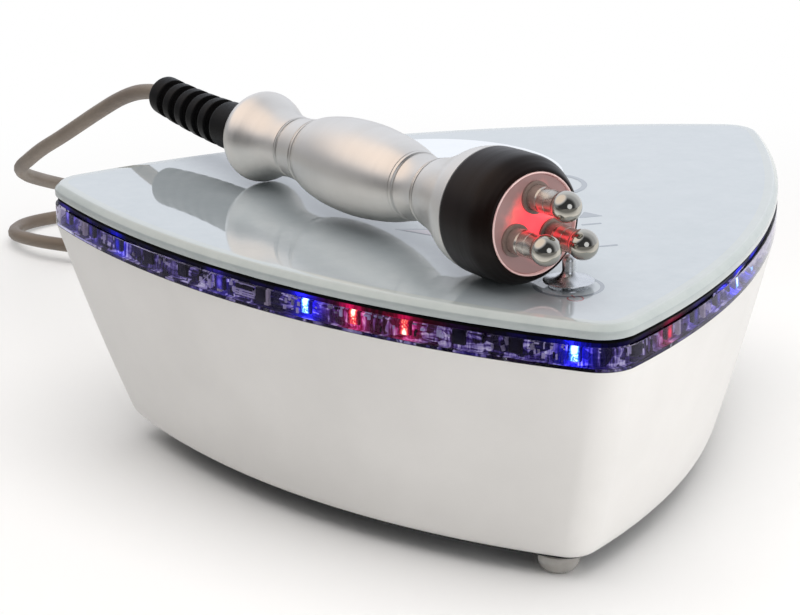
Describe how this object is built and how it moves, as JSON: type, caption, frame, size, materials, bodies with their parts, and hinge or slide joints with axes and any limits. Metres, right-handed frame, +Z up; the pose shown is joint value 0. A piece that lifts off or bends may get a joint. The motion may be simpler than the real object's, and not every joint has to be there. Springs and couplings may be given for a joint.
{
  "type": "facial toning device",
  "caption": "Three-cornered tabletop console with a glass top, a light band and a push button, and a turned handpiece with ball-ended electrodes lying on it, joined by a cord.",
  "frame": {"origin": "on the table under the middle of the console", "axes": "+X to the right along the console's width, +Y to its back, +Z up; the front corner points to -Y"},
  "size_m": [0.3, 0.521, 0.1513],
  "materials": {
    "case_white": "satin",
    "dark_plate": "matt",
    "steel": "plain",
    "clear_rubber": "clear silicone",
    "smoked_acrylic": "clear, tinted",
    "nickel_post": "plated",
    "lamp_strip": "solder mask",
    "lamp_blue": "lit",
    "lamp_red": "lit",
    "lamp_violet": "lit",
    "gasket_black": "matt",
    "film_print": "printed on the back",
    "glass_clear": "polished",
    "board_green": "solder mask",
    "cable_white": "plain",
    "chrome": "polished",
    "spring_steel": "drawn",
    "black_plastic": "moulded",
    "brass": "plain",
    "can_blue": "sleeve",
    "winding": "enamelled wire",
    "aluminium": "extruded",
    "supply_grey": "mixed parts",
    "terminal_green": "moulded",
    "champagne_metal": "satin anodised",
    "head_black": "satin",
    "ivory_plastic": "moulded",
    "rim_pale": "polished",
    "face_pink": "translucent",
    "electrode_steel": "polished steel",
    "sleeve_dark": "moulded",
    "board_white": "solder mask",
    "relief_rubber": "moulded",
    "cord_grey": "satin"
  },
  "bodies": {
    "console": {"case_tub": "case_white", "base_plate": "dark_plate", "base_screws": "steel", "rubber_feet": "clear_rubber", "light_ring": "smoked_acrylic", "ring_screws": "steel", "spacer_posts": "nickel_post", "led_strip": "lamp_strip", "blue_leds": "lamp_blue", "red_leds": "lamp_red", "violet_leds": "lamp_violet", "gasket_frame": "gasket_black", "panel_film": "film_print", "glass_top": "glass_clear", "touch_board": "board_green", "flat_cable": "cable_white", "button_bezel": "chrome", "button_spring": "spring_steel", "button_nut": "steel", "button_switch": "black_plastic", "switch_terminals": "brass", "main_board": "board_green", "rf_board": "board_green", "standoffs": "steel", "board_screws": "steel", "board_chips": "black_plastic", "capacitors": "can_blue", "rf_transformer": "winding", "heat_sink": "aluminium", "power_supply": "supply_grey", "supply_terminals": "terminal_green", "mains_inlet": "black_plastic", "inlet_pins": "nickel_post", "inlet_screws": "steel", "handpiece_socket": "nickel_post", "socket_nut": "nickel_post", "socket_contacts": "brass", "handpiece_cord": "cord_grey", "cord_coil": "cord_grey", "cord_tail": "cord_grey", "plug_ring": "nickel_post", "plug_shell": "black_plastic", "plug_boot": "relief_rubber"},
    "handpiece": {"rear_bulb": "champagne_metal", "rear_ring": "champagne_metal", "grip_barrel": "champagne_metal", "front_ring": "champagne_metal", "front_collar": "champagne_metal", "barrel_core": "aluminium", "head_shell": "head_black", "head_sleeve": "ivory_plastic", "face_rim": "rim_pale", "face_plate": "face_pink", "electrodes": "electrode_steel", "electrode_sleeves": "sleeve_dark", "electrode_nuts": "steel", "lamp_board": "board_white", "head_leds": "lamp_red", "strain_relief": "relief_rubber"},
    "power_button": {"power_button": "chrome"}
  },
  "joints": [
    {"name": "handpiece_lift", "type": "slide", "parent": "console", "child": "handpiece", "axis": [0, 0, 1], "range_m": [0, 0.08]},
    {"name": "button_press", "type": "slide", "parent": "console", "child": "power_button", "axis": [0, 0, -1], "range_m": [0, 0.0012], "stiffness_N_per_m": 900, "springref_m": -0.0012, "deforming": ["button_spring"]}
  ]
}
